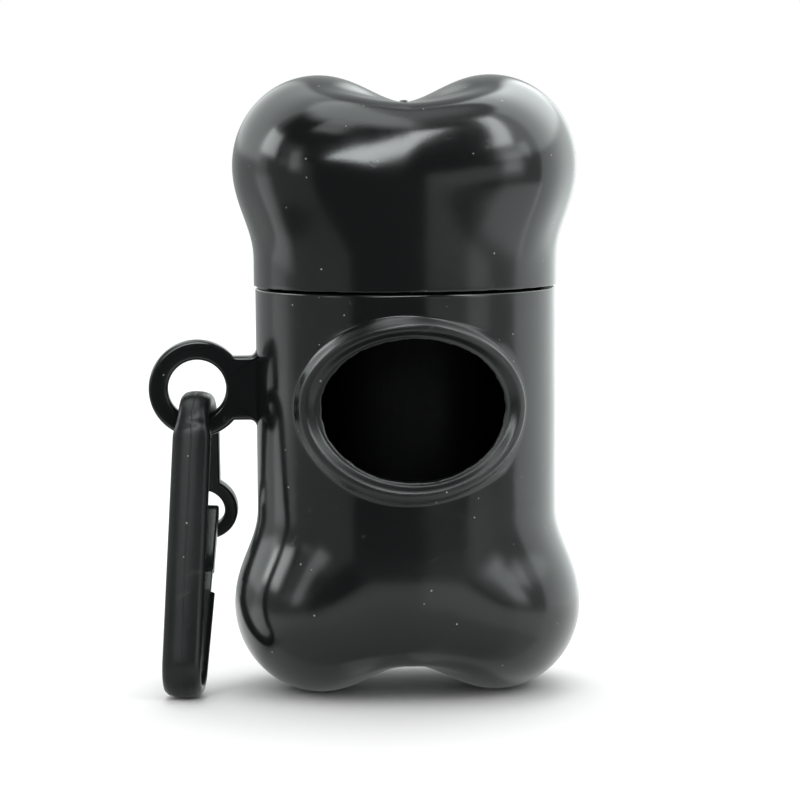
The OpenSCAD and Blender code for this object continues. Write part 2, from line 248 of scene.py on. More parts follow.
def black_plastic(name, colour, rough, waves, grain, rubs, dust, parting, plane, specular=0.5,
                  rim=0.0):
    """Glossy black plastic: moulding waves, fine rub marks, dust, and a parting line as high
    as parting where the surface meets the plane, given as its point and its direction.  rim
    is how much duller the mouth's bead is."""
    made, tree, shader, place = new_material(name)
    marks = use(tree, RUBS, Vector=place, Amount=rubs)
    specks = maths(tree, "MULTIPLY", use(tree, DUST, Vector=place), dust)
    height = use(tree, SKIN, Vector=place, Waves=waves, Grain=grain)
    height = plus(tree, height, marks, -RUB_DEPTH)
    height = plus(tree, height, specks, DUST_HEIGHT)
    away = node(tree, "ShaderNodeVectorMath", {0: place, 1: plane[0]},
                operation="SUBTRACT").outputs[0]
    across = node(tree, "ShaderNodeVectorMath", {0: away, 1: plane[1]},
                  operation="DOT_PRODUCT").outputs["Value"]
    line = ramp(tree, maths(tree, "ABSOLUTE", across), PARTING_HALF, PARTING_FADE, 1.0, 0.0)
    height = plus(tree, height, line, parting)
    cloud = noise(tree, place, 55.0, 5.0, Roughness=0.6)
    pale = maths(tree, "MAXIMUM", specks, maths(tree, "MULTIPLY", marks, RUB_PALE))
    tree.links.new(mix_colour(tree, pale, colour, DUST_COLOUR), shader.inputs["Base Color"])
    dull = plus(tree, ramp(tree, cloud, 0.35, 0.7, rough * 0.8, rough * 1.25), marks, RUB_DULL)
    dull = plus(tree, dull, specks, DUST_DULL)
    if rim:
        dull = plus(tree, dull, mouth_rim(tree, place), rim)
    tree.links.new(dull, shader.inputs["Roughness"])
    bumped(tree, shader, height)
    shader.inputs["IOR"].default_value = 1.5
    shader.inputs["Specular IOR Level"].default_value = specular
    return made


def film_material():
    """Thin black film, wound tight: folds along the roll, a soft sheen."""
    made, tree, shader, place = new_material("bag_film")
    along = node(tree, "ShaderNodeMapping", {"Vector": place, "Scale": (1, 1, 0.08)}).outputs[0]
    folds = noise(tree, along, 520.0, 4.0, Roughness=0.6)
    crumple = noise(tree, place, 260.0, 5.0, Distortion=0.6)
    height = maths(tree, "MULTIPLY", plus(tree, folds, crumple, 0.6), 0.0002)
    bumped(tree, shader, height, 0.8)
    tree.links.new(ramp(tree, crumple, 0.3, 0.7, 0.42, 0.6), shader.inputs["Roughness"])
    shader.inputs["Specular IOR Level"].default_value = 0.04
    tree.links.new(mix_colour(tree, folds, (0.0016, 0.0018, 0.0019), (0.0036, 0.0038, 0.004)),
                   shader.inputs["Base Color"])
    return made


def board_material():
    """Plain brown board: long fibres and uneven tone."""
    made, tree, shader, place = new_material("core_board")
    along = node(tree, "ShaderNodeMapping", {"Vector": place, "Scale": (1, 1, 0.25)}).outputs[0]
    fibres = noise(tree, along, 1500.0, 6.0, Roughness=0.7)
    blotch = noise(tree, place, 200.0, 3.0)
    share = maths(tree, "MULTIPLY", fibres, maths(tree, "ADD", blotch, 0.5))
    tree.links.new(mix_colour(tree, share, (0.29, 0.2, 0.12), (0.52, 0.4, 0.27)),
                   shader.inputs["Base Color"])
    shader.inputs["Roughness"].default_value = 0.85
    bumped(tree, shader, maths(tree, "MULTIPLY", fibres, 0.00008), 0.7)
    return made


SWING = next(j for j in frame["record"]["behaviour"]["joints"] if j["name"] == "clip_swing")
SHELL_PLASTIC = black_plastic("shell_plastic", (0.0062, 0.0072, 0.0074), 0.165,
                              waves=1.0, grain=1.0, rubs=0.5, dust=0.7, parting=0.00006,
                              plane=((0, 0, 0), (0, 1, 0)), rim=0.17)
CLIP_PLASTIC = black_plastic("clip_plastic", (0.010, 0.0114, 0.0116), 0.33,
                             waves=0.6, grain=2.0, rubs=0.8, dust=0.8, specular=0.27,
                             parting=0.00003, plane=(SWING["pos_m"], SWING["axis"]))
BAG_FILM, CORE_BOARD = film_material(), board_material()


# ------------------------------------------------------------------ mesh tools
def add_object(name, data):
    """A new object in the scene."""
    made = bpy.data.objects.new(name, data)
    bpy.context.scene.collection.objects.link(made)
    return made


def finish_mesh(mesh, smooth, merge):
    """Merges points closer than merge metres, turns the faces outwards, and shades smooth
    all but the edges sharper than smooth degrees."""
    work = bmesh.new()
    work.from_mesh(mesh)
    bmesh.ops.remove_doubles(work, verts=work.verts, dist=merge)
    bmesh.ops.recalc_face_normals(work, faces=work.faces)
    limit = math.radians(smooth)
    for edge in work.edges:
        edge.smooth = len(edge.link_faces) == 2 and edge.calc_face_angle(0) < limit
    for face in work.faces:
        face.smooth = True
    work.to_mesh(mesh)
    work.free()


def piece(name, verts, faces, material, smooth=40.0):
    """A mesh piece from points in mm, in its material."""
    mesh = bpy.data.meshes.new(name)
    mesh.from_pydata([tuple(v) for v in np.asarray(verts) * MM], [], [tuple(f) for f in faces])
    finish_mesh(mesh, smooth, 2e-7)
    mesh.materials.append(material)
    made = add_object(name, mesh)
    return made


def bands(rows, count, closed=False):
    """Faces between rows of count points each; closed joins the last row to the first."""
    return [(i * count + k, i * count + (k + 1) % count,
             (i + 1) % rows * count + (k + 1) % count, (i + 1) % rows * count + k)
            for i in range(rows if closed else rows - 1) for k in range(count)]


def lids(rows, count):
    """The two faces that close the first and the last row."""
    return [tuple(range(count)), tuple((rows - 1) * count + k for k in range(count))]


def arc(at, r, start, end, steps):
    """Points on a circle from one angle to another, in degrees."""
    turns = np.radians(np.linspace(start, end, steps + 1))
    return [(at[0] + r * math.cos(a), at[1] + r * math.sin(a)) for a in turns]


# ------------------------------------------------------------- the bone's ends
def eased(x, low, high):
    """0 below low, 1 above high, and a smooth step between them."""
    share = np.clip((x - low) / (high - low), 0, 1)
    return share * share * (3 - 2 * share)


def melt(a, b, width):
    """The smaller of two distances, rounded over a width where they are alike."""
    share = np.maximum(width - np.abs(a - b), 0) / width
    return np.minimum(a, b) - share * share * width / 4


def end_field(p, neck_r, lobe_x, depth, front_blend, arch):
    """Negative inside: a rounded neck end and two ellipsoids that melt together, with the
    saddle arched up towards front and back."""
    radii = np.array([LOBE[0], depth, LOBE[2]])
    q = np.stack([(np.abs(p[..., 0]) - lobe_x), p[..., 1], p[..., 2] - LOBE_Z], -1) / radii
    size = np.linalg.norm(q, axis=-1)
    lobes = size * (size - 1) / np.maximum(np.linalg.norm(q / radii, axis=-1), 1e-9)
    out = np.hypot(p[..., 0], p[..., 1]) - (neck_r - END_OUT)
    under = SADDLE_Z + arch * (p[..., 1] / 14) ** 2 + END_UP - p[..., 2]
    u, w = np.maximum(out, 0) / END_OUT, np.maximum(under, 0) / END_UP
    size = np.hypot(u, w)
    corner = size * (size - 1) / np.maximum(np.hypot(u / END_OUT, w / END_UP), 1e-9)
    flat = np.where(out > under, out - END_OUT, under - END_UP)
    neck = np.where((out > 0) & (under > 0), corner, flat)
    return melt(lobes, neck, BLEND_W + front_blend * eased(np.abs(p[..., 1]), 7, 17))


def on_rays(starts, ways, level, end):
    """Where rays from inside the bone's end meet its surface, or one at a depth below it."""
    near, far = np.zeros(starts.shape[:-1]), np.full(starts.shape[:-1], BONE_W)
    for _ in range(34):
        mid = (near + far) / 2
        inside = end_field(starts + ways * mid[..., None], **end) < level
        near, far = np.where(inside, mid, near), np.where(inside, far, mid)
    return starts + ways * ((near + far) / 2)[..., None]


SIDES = 192
TURNS = np.radians(np.arange(SIDES) * 360 / SIDES)


def end_rows(wall, foot_wall, end, fan, up, top):
    """Rows of points from the pole under the saddle, round the lobes, up to the height top,
    at the depth wall below the outer surface, and foot_wall under the saddle."""
    rows = []
    for down in np.linspace(90, 0, fan + 1)[1:]:
        c, s = math.cos(math.radians(down)), math.sin(math.radians(down))
        ways = np.stack([np.cos(TURNS) * c, np.sin(TURNS) * c, np.full(SIDES, -s)], -1)
        level = -(wall + (foot_wall - wall) * eased(down, 8, 24))
        rows.append(on_rays(np.tile([0.0, 0.0, LOBE_Z], (SIDES, 1)), ways, level, end))
    for z in np.linspace(LOBE_Z, top, up + 1)[1:]:
        ways = np.stack([np.cos(TURNS), np.sin(TURNS), np.zeros(SIDES)], -1)
        rows.append(on_rays(np.tile([0.0, 0.0, z], (SIDES, 1)), ways, -wall, end))
    pole = on_rays(np.array([[0.0, 0.0, LOBE_Z]]), np.array([[0.0, 0.0, -1.0]]), -foot_wall, end)
    return pole[0], rows


def ring(r, z):
    """One ring; r and z may be numbers or one value for each side."""
    level = np.full(SIDES, z) if np.isscalar(z) else z
    return np.stack([r * np.cos(TURNS), r * np.sin(TURNS), level], -1)


def thread(z, low, high):
    """How far a right-hand thread stands out at this height, for each side."""
    phase = (z - low) / THREAD_PITCH - TURNS / (2 * math.pi)
    crest = np.clip(np.cos(2 * math.pi * phase) * 1.6 - 0.3, 0, 1)
    ends = np.clip(min(z - low, high - z) / 0.8, 0, 1)
    return THREAD_DEPTH * crest * ends


def skin(first_pole, rows, last_pole):
    """Points and faces of a closed skin: a pole, rows of SIDES points, a pole."""
    verts = np.concatenate([np.concatenate(rows), [first_pole], [last_pole]])
    faces = {}
    for i in range(len(rows) - 1):
        for j in range(SIDES):
            k = (j + 1) % SIDES
            faces[i, j] = (i * SIDES + j, i * SIDES + k, (i + 1) * SIDES + k, (i + 1) * SIDES + j)
    a, b, last = len(rows) * SIDES, len(rows) * SIDES + 1, (len(rows) - 1) * SIDES
    tips = [(j, a, (j + 1) % SIDES) for j in range(SIDES)]
    tips += [(last + j, last + (j + 1) % SIDES, b) for j in range(SIDES)]
    return verts, faces, tips


# ------------------------------------------------------------- the two shells
MOUTH_HALF_TURN, MOUTH_ROWS = 30, 26    # the window: columns on each side, and rows
MOUTH_LOW, MOUTH_HIGH, INNER_TOP = 26.9, 53.7, 51.7
CUT_DEPTHS = (0.9, 0.55, 0.15)          # how much of the rough cut the first rings show
BORE_TOP = 65.0                         # where the cap's threaded bore ends


def bead_profile(tight):
    """Distance outwards from the opening's edge, and height above the neck.  Where tight
    is 1 the bead meets the neck in a crisp line, and where it is 0 in a soft fillet."""
    points = [(0.0, -0.3), (0.02, -0.12), (0.09, -0.03), (0.22, 0.0)]
    end = 2.8 + 0.75 * (1 - tight)
    for out in np.linspace(0.4, end, 30):
        rise, fall = eased(out, 0.42, 1.35), 1 - eased(out, 1.75, end)
        points.append((out, BEAD_TOP * rise ** 0.8 * fall ** (0.75 + 0.25 * (1 - tight))))
    return np.array(points)


def seam_rows():
    """Rings over the shoulder, up the threaded collar, and down its bore to the inner wall."""
    bore, inner_r, top = COLLAR_R - COLLAR_WALL, NECK_R - WALL, SEAM_Z + COLLAR_H
    rings = arc((NECK_R - SHOULDER_ROUND, SEAM_Z - SHOULDER_ROUND), SHOULDER_ROUND, 0, 90, 6)
    rings += arc((COLLAR_R + ROOT_ROUND, SEAM_Z + ROOT_ROUND), ROOT_ROUND, -90, -180, 3)
    rings += [(COLLAR_R + thread(z, SEAM_Z + 1.2, top - 0.9), z)
              for z in np.linspace(SEAM_Z + 0.45, top - 0.35, 40)]
    rings += arc((COLLAR_R - CROWN_ROUND, top - CROWN_ROUND), CROWN_ROUND, 0, 90, 3)
    rings += arc((bore + CROWN_ROUND, top - CROWN_ROUND), CROWN_ROUND, 90, 180, 3)
    rings += [(bore, z) for z in (61.0, 58.5, 56.5, SEAM_Z - SHOULDER_T + 0.3)]
    rings += [(bore + 0.1, SEAM_Z - SHOULDER_T),
              (inner_r - 0.3, SEAM_Z - SHOULDER_T - WALL + 0.35)]
    return [ring(r, z) for r, z in rings]


def open_window(faces, bottom, top):
    """Takes out of the skin what the mouth replaces between two rows, and returns the
    numbers of the points round the window."""
    first = SIDES * 3 // 4 - MOUTH_HALF_TURN
    last = first + 2 * MOUTH_HALF_TURN
    step = 1 if top > bottom else -1
    for i in range(min(bottom, top), max(bottom, top)):
        for j in range(first, last):
            del faces[i, j]
    rim = [(bottom, j) for j in range(first, last)]
    rim += [(i, last) for i in range(bottom, top, step)]
    rim += [(top, j) for j in range(last, first, -1)]
    rim += [(i, first) for i in range(top, bottom, -step)]
    return [i * SIDES + j for i, j in rim]


def mouth(points, outer_rim, inner_rim):
    """Fills the two windows with rings that follow the oval, joined through the wall by the
    opening's cut edge.  Adds to the points and returns the faces."""
    count, inner_r = len(outer_rim), NECK_R - WALL
    rim = np.array([points[i] for i in outer_rim])
    across = NECK_R * (np.arctan2(rim[:, 1], rim[:, 0]) + math.pi / 2)
    t = np.arctan2((rim[:, 2] - MOUTH_Z) / (MOUTH_H / 2 + 2.5), across / (MOUTH_W / 2 + 3.5))
    rough_cut = (0.05 * np.sin(9 * t + 0.7) + 0.04 * np.sin(23 * t + 2.1) + 0.035 * np.sin(41 * t)
                 + 0.03 * np.sin(67 * t + 1.3))

    def oval(out, high_by, r):
        """The oval widened by out, on the cylinder of radius r and high_by above it."""
        x, z = (MOUTH_W / 2 + out) * np.cos(t), MOUTH_Z + (MOUTH_H / 2 + out) * np.sin(t)
        side = np.arcsin(x / r)
        return np.stack([(r + high_by) * np.sin(side), -(r + high_by) * np.cos(side), z], -1)

    def add(ring_points):
        start = len(points)
        points.extend(ring_points)
        return [start + k for k in range(count)]

    def spread(from_ring, to_rim, r, steps):
        """Rings on the cylinder of radius r, from an oval out to a window's rim."""
        a, b = np.array(from_ring), np.array([points[i] for i in to_rim])
        turn_a, turn_b = np.arctan2(a[:, 1], a[:, 0]), np.arctan2(b[:, 1], b[:, 0])
        rings = []
        for share in np.linspace(0, 1, steps + 1)[1:-1]:
            turn = turn_a + (turn_b - turn_a) * share
            z = a[:, 2] + (b[:, 2] - a[:, 2]) * share
            rings.append(add(np.stack([r * np.cos(turn), r * np.sin(turn), z], -1)))
        return rings

    tight = eased(np.cos(t), -0.75, 0.6)
    rings = []
    for k, (soft_side, crisp_side) in enumerate(zip(bead_profile(0.0), bead_profile(1.0))):
        cut = rough_cut * (CUT_DEPTHS[k] if k < len(CUT_DEPTHS) else 0.0)
        out, high_by = soft_side[:, None] * (1 - tight) + crisp_side[:, None] * tight
        rings.append(add(oval(out + cut, high_by, NECK_R)))
    rings += spread(oval(out, 0, NECK_R), outer_rim, NECK_R, 6)
    cut_edge = [oval(rough_cut * share, 0, r) for share, r in
                ((0.6, NECK_R - 0.45), (0.3, NECK_R - WALL + 0.4), (0.1, NECK_R - WALL + 0.1))]
    back = [add(o) for o in cut_edge[::-1]]
    inner = oval(0.12, 0, inner_r)
    back = [add(inner)] + back
    back = spread(inner, inner_rim, inner_r, 5)[::-1] + back
    strips = [inner_rim] + back + rings + [outer_rim]
    return [(a[k], a[(k + 1) % count], b[(k + 1) % count], b[k])
            for a, b in zip(strips, strips[1:]) for k in range(count)]


def lower_shell():
    """The hollow lower half: feet, neck, mouth, shoulder and threaded collar in one skin."""
    pole, rows = end_rows(0, 0, FOOT_END, 46, 16, MOUTH_LOW)
    for row in rows:
        row[:, 2] = np.maximum(row[:, 2], 0)        # the flats that the feet stand on
    low = len(rows) - 1
    rows += [ring(NECK_R, z) for z in np.linspace(MOUTH_LOW, MOUTH_HIGH, MOUTH_ROWS + 1)[1:]]
    high = len(rows) - 1
    rows += [ring(NECK_R, z) for z in (54.4, 55.0, 55.25)] + seam_rows()
    in_high = len(rows)
    rows += [ring(NECK_R - WALL, z) for z in np.linspace(INNER_TOP, MOUTH_LOW, MOUTH_ROWS + 1)]
    in_low = len(rows) - 1
    in_pole, in_rows = end_rows(WALL, FOOT_WALL, FOOT_END, 34, 8, MOUTH_LOW)
    verts, faces, tips = skin(pole, rows + in_rows[-2::-1], in_pole)
    points = list(verts)
    outer_rim = open_window(faces, low, high)
    inner_rim = open_window(faces, in_low, in_high)
    lip = mouth(points, outer_rim, inner_rim)
    shell = piece("lower_bone", points, list(faces.values()) + tips + lip, SHELL_PLASTIC,
                  smooth=50)
    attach(shell, "shell")
    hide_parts("lower_shell")


def cap_shell():
    """The hollow upper half, built upside down like the feet, then turned over."""
    pole, rows = end_rows(0, 0, CAP_END, 46, 16, JOIN_Z)
    rows += [ring(CAP_R, TOP_Z - z) for z in (57.8, 57.0, 56.7)]
    edge = arc((CAP_R - SKIRT_ROUND, SKIRT_Z + SKIRT_ROUND), SKIRT_ROUND, 0, -90, 4)
    ragged = 0.045 * np.sin(17 * TURNS + 0.4) * np.sin(5 * TURNS) + 0.03 * np.sin(41 * TURNS)
    rows += [ring(r, TOP_Z - z - np.maximum(ragged, -0.02)) for r, z in edge]
    rim = arc((CAP_R - WALL + ROOT_ROUND, SKIRT_Z + ROOT_ROUND), ROOT_ROUND, -90, -180, 3)
    rows += [ring(r, TOP_Z - z) for r, z in rim]
    for z in np.linspace(SKIRT_Z + 0.5, BORE_TOP, 40):
        rows.append(ring(CAP_R - WALL - thread(z, SKIRT_Z + 1.0, SKIRT_Z + 7.6), TOP_Z - z))
    in_pole, in_rows = end_rows(WALL, WALL, CAP_END, 26, 8, TOP_Z - (BORE_TOP + 0.4))
    rows += in_rows[::-1]
    verts, faces, tips = skin(pole, rows, in_pole)
    verts[:, 2] = TOP_Z - verts[:, 2]
    shell = piece("upper_bone", verts, list(faces.values()) + tips, SHELL_PLASTIC,
                  smooth=50)
    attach(shell, "cap")
    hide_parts("cap_shell")


def pinch_tail():
    """The small torn-off tail of the moulding, on the saddle between the upper lobes."""
    count, verts = 28, []
    levels = ((-0.5, 1.12), (-0.1, 1.05), (0.12, 0.98), (0.3, 0.85), (0.4, 0.55))
    for f, spread in levels:
        for k in range(count):
            a = 2 * math.pi * k / count
            ragged = 1 + 0.07 * math.sin(3 * a + 1) + 0.05 * math.sin(7 * a)
            x = 0.65 * spread * ragged * math.copysign(abs(math.cos(a)) ** 0.6, math.cos(a))
            y = 1.9 * spread * math.copysign(abs(math.sin(a)) ** 0.6, math.sin(a))
            verts.append((x, y, TOP_Z - SADDLE_Z + f + 0.03 * math.sin(5 * a)))
    faces = bands(len(levels), count) + lids(len(levels), count)
    made = piece("pinch_tail", verts, faces, SHELL_PLASTIC, smooth=35)
    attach(made, "cap")


# --------------------------------------------------------------- flat mouldings
def inwards(loop):
    """For each point of a loop, the step inwards that keeps an even distance from its sides."""
    ahead, behind = np.roll(loop, -1, 0) - loop, loop - np.roll(loop, 1, 0)
    ahead /= np.linalg.norm(ahead, axis=1)[:, None]
    behind /= np.linalg.norm(behind, axis=1)[:, None]
    n = np.stack([-(ahead + behind)[:, 1], (ahead + behind)[:, 0]], -1)
    length = np.linalg.norm(n, axis=1)[:, None]
    return n / length * (2 / length)


def round_plate(outline, hole, half_t, r, steps=4):
    """A plate between an outline and a hole, each a list of points with as many points,
    its four edges rounded.  Returns points (x, y, z across the plate) and faces."""
    outline, hole = np.array(outline), np.array(hole)
    rings = []
    turns = np.radians(np.linspace(0, 90, steps + 1))
    for loop, step, order in ((hole, -inwards(hole), -1), (outline, inwards(outline), 1)):
        part = [(loop + step * r * (1 - math.sin(a)), side * (half_t - r * (1 - math.cos(a))))
                for side in (-1, 1) for a in turns[::-side]]
        rings += part[::order]
    verts = [(x, y, z) for flat, z in rings for x, y in flat]
    return np.array(verts), bands(len(rings), len(outline), closed=True)


def ear():
    """The ring and its web, which runs into the neck's wall."""
    half_h, steps = EAR_WEB_H / 2, 88
    corner = math.asin(half_h / EAR_R)
    outline = arc((0, 0), EAR_R, math.degrees(corner), 360 - math.degrees(corner), steps)
    start = EAR_R * math.cos(corner)
    bend = EAR_REACH - EAR_FILLET
    web_end = EAR_REACH + WALL * 0.6
    flare = arc((bend, half_h + EAR_FILLET), EAR_FILLET, -90, -12, 6)
    upper = [(start + (bend - start) * s, half_h) for s in (0.25, 0.6)] + flare
    upper += [(web_end, half_h + EAR_FILLET)]
    lower = [(x, -y) for x, y in upper]
    end = [(web_end, y) for y in np.linspace(-half_h - EAR_FILLET, half_h + EAR_FILLET, 9)[1:-1]]
    outline = outline + lower + end + upper[::-1]
    arc_turns = np.linspace(corner, 2 * math.pi - corner, steps + 1)
    web_turns = np.linspace(-corner, corner, len(outline) - steps + 1)[1:-1]
    hole = [(EAR_HOLE_R * math.cos(a), EAR_HOLE_R * math.sin(a))
            for a in (*arc_turns, *web_turns)]
    verts, faces = round_plate(outline, hole, EAR_T / 2, EAR_ROUND)
    placed = np.stack([EAR_X + verts[:, 0], -verts[:, 2], EAR_Z + verts[:, 1]], -1)
    made = piece("side_ear", placed, faces, SHELL_PLASTIC, smooth=48)
    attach(made, "shell")


# --------------------------------------------------------------------- the clip
def turn_about(axis, degrees):
    """The matrix of a turn about one of the frame's axes."""
    return np.array(Matrix.Rotation(math.radians(degrees), 3, axis))


IN_EAR = (turn_about("Y", CLIP_TILT) @ turn_about("Z", -CLIP_YAW)
          @ turn_about("Z", -90) @ turn_about("X", 90) @ turn_about("Z", CLIP_LEAN))
PIVOT = np.array([EAR_X, 0, SWING_Z])


def in_ear(local):
    """Points of the clip's side view (forward, up, sideways), in the shared frame."""
    return PIVOT + np.asarray(local) @ IN_EAR.T


def way(degrees):
    """The direction at this angle in the clip's side view."""
    return np.array([math.cos(math.radians(degrees)), math.sin(math.radians(degrees))])


BOW_AT = -(BOW_R - BAR_LIFT) * np.array([math.sin(math.radians(CLIP_LEAN)),
                                         math.cos(math.radians(CLIP_LEAN))])
FOOT_BOW_AT = BOW_AT + [BOW_R - FOOT_BOW_R, -SPINE_L]
BACK_FOOT = FOOT_BOW_AT + FOOT_BOW_R * way(180 + BACK_SLANT)
BACK_UP = way(90 + BACK_SLANT)
BACK_ROOT = BACK_FOOT + BACK_L * BACK_UP
STRUT_OUT = way(180 - STRUT_SLANT)
STRUT_DOWN = np.array([-STRUT_OUT[1], STRUT_OUT[0]])
STRUT_TOP = BOW_AT + BOW_R * STRUT_OUT
CATCH_AT = STRUT_TOP + (STRUT_L + CATCH_R) * STRUT_DOWN
GATE_TIP = (CATCH_AT - (CATCH_T / 2 + GATE_GAP + GATE_T / 2) * STRUT_OUT
            + (GATE_T / 2 - GATE_REACH) * STRUT_DOWN)
HINGE_AT = BACK_ROOT + GATE_GAP * BACK_UP
GATE_ROOT = HINGE_AT + HINGE_L * BACK_UP


def bar_section(wide):
    """The bar's section, rounded: outwards, sideways.  A low ridge runs near each edge."""
    half = []
    for share in np.linspace(0, 1, 15):
        side = share ** 0.8
        out = 0.5 * CLIP_T * (1 - side ** 2.5) ** (1 / 2.1)
        ridge = 0.05 * math.exp(-((share - 0.68) / 0.06) ** 2)
        half.append((out + ridge, 0.505 * CLIP_W * wide * side))
    for share in np.linspace(0.97, 0, 12):
        half.append((-0.5 * CLIP_T * (1 - share ** 2.6) ** (1 / 2.6),
                     CLIP_W * wide * (0.3 * share + 0.2 * share ** 5)))
    return np.array(half + [(a, -b) for a, b in half[-2:0:-1]])


def bent_bar():
    """The clip's bar in one run: narrow in the ear, with a squared front bend and a crease
    where the wider spine begins."""
    line = []
    for a in np.linspace(180 - STRUT_SLANT, 90, 34)[:-1]:
        line.append((BOW_AT + BOW_R * way(a), a, BOW_WIDTH))
    for a in np.linspace(90, 0, 52):
        c, s = abs(math.cos(math.radians(a))), abs(math.sin(math.radians(a)))
        r = BOW_R / (c ** BEND_SQUARE + s ** BEND_SQUARE) ** (1 / BEND_SQUARE)
        crease = CREASE_DEPTH * math.exp(-((a - CREASE_AT) / 4.5) ** 2)
        wide = BOW_WIDTH + (1 - BOW_WIDTH) * eased(-a, -30, 0)
        line.append((BOW_AT + (r - crease) * way(a), a, wide))
    for f in np.linspace(0, 1, 14)[1:-1]:
        line.append((BOW_AT + [BOW_R, -SPINE_L * f], 0.0, 1.0))
    for a in np.linspace(0, -180 + BACK_SLANT, 44):
        line.append((FOOT_BOW_AT + FOOT_BOW_R * way(a), a, 1.0))
    for f in np.linspace(0, 1, 8)[1:]:
        line.append((BACK_FOOT + BACK_L * f * BACK_UP, -180 + BACK_SLANT, 1.0))
    verts = []
    for at, a, wide in line:
        section = bar_section(wide)
        verts += [(*(at + out * way(a)), sideways) for out, sideways in section]
    faces = bands(len(line), len(section)) + lids(len(line), len(section))
    made = piece("clip_bar", in_ear(verts), faces, CLIP_PLASTIC, smooth=50)
    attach(made, "clip")
    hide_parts("clip_frame")


def catch_plate():
    """The strut and the catch ring that ends it."""
    half, steps = STRUT_W / 2, 80
    corner = math.degrees(math.asin(half / CATCH_R))
    top = CATCH_R + STRUT_L + BOW_R / 6
    outline = arc((0, 0), CATCH_R, 90 + corner, 450 - corner, steps)
    start = CATCH_R * math.cos(math.radians(corner))
    heights = np.linspace(start, top, 8)[1:]
    outline += [(half, y) for y in heights] + [(0.0, top)] + [(-half, y) for y in heights[::-1]]
    turns = np.radians(np.concatenate([
        np.linspace(90 + corner, 450 - corner, steps + 1),
        np.linspace(450 - corner, 450 + corner, len(outline) - steps + 1)[1:-1]]))
    hole = [(CATCH_HOLE_R * math.cos(a), CATCH_HOLE_R * math.sin(a)) for a in turns]
    verts, faces = round_plate(outline, hole, CATCH_T / 2, 0.35)
    local = [(*(CATCH_AT - y * STRUT_DOWN + z * STRUT_OUT), x) for x, y, z in verts]
    made = piece("catch_ring", in_ear(local), faces, CLIP_PLASTIC, smooth=48)
    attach(made, "clip")


def solid_strip(name, outline, half_w, r):
    """A closed side view given a width, its long edges rounded."""
    loop = np.array(outline)
    step = inwards(loop)
    verts = []
    for side, angles in ((-1, np.linspace(0, 90, 4)), (1, np.linspace(90, 0, 4))):
        for a in np.radians(angles):
            flat = loop + step * r * (1 - math.sin(a))
            verts += [(x, y, side * (half_w - r * (1 - math.cos(a)))) for x, y in flat]
    rings = len(verts) // len(loop)
    faces = bands(rings, len(loop)) + lids(rings, len(loop))
    return piece(name, in_ear(verts), faces, CLIP_PLASTIC, smooth=40)


def gate():
    """The gate that springs against the catch ring, and the thin web that it bends at."""
    along = (GATE_TIP - GATE_ROOT) / np.linalg.norm(GATE_TIP - GATE_ROOT)
    turn = math.degrees(math.atan2(along[1], along[0]))
    side = GATE_T / 2 * np.array([-along[1], along[0]])
    web_side = HINGE_T / 2 * np.array([-BACK_UP[1], BACK_UP[0]])
    tip = arc(GATE_TIP, GATE_T / 2, turn - 90, turn + 90, 14)
    left = [tuple(GATE_TIP + side + (GATE_ROOT - GATE_TIP) * f) for f in (0.33, 0.66)]
    right = [tuple(GATE_TIP - side + (GATE_ROOT - GATE_TIP) * f) for f in (0.66, 0.33)]
    heel = [GATE_ROOT + side + along * 0.15, GATE_ROOT + side * 0.8 - along * 0.1,
            GATE_ROOT + web_side, GATE_ROOT - web_side,
            GATE_ROOT - side * 0.8 - along * 0.1, GATE_ROOT - side + along * 0.15]
    outline = tip + left + [tuple(point) for point in heel] + right
    made = solid_strip("gate_bar", outline, GATE_W / 2, 0.3)
    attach(made, "gate")
    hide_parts("clip_gate")
    low, high = BACK_ROOT - 0.5 * BACK_UP, GATE_ROOT + 0.6 * along
    lefts, rights = [], []
    for f in np.linspace(0, 1, 14):
        at = low + (high - low) * f
        flare = min(1 + 0.9 * max(0.0, abs(2 * f - 1) - 0.72) / 0.28, 1.8)
        lefts.append(tuple(at + web_side * flare))
        rights.append(tuple(at - web_side * flare))
    web = solid_strip("gate_web", rights + lefts[::-1], GATE_W / 2 - 0.15, 0.15)
    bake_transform(web)


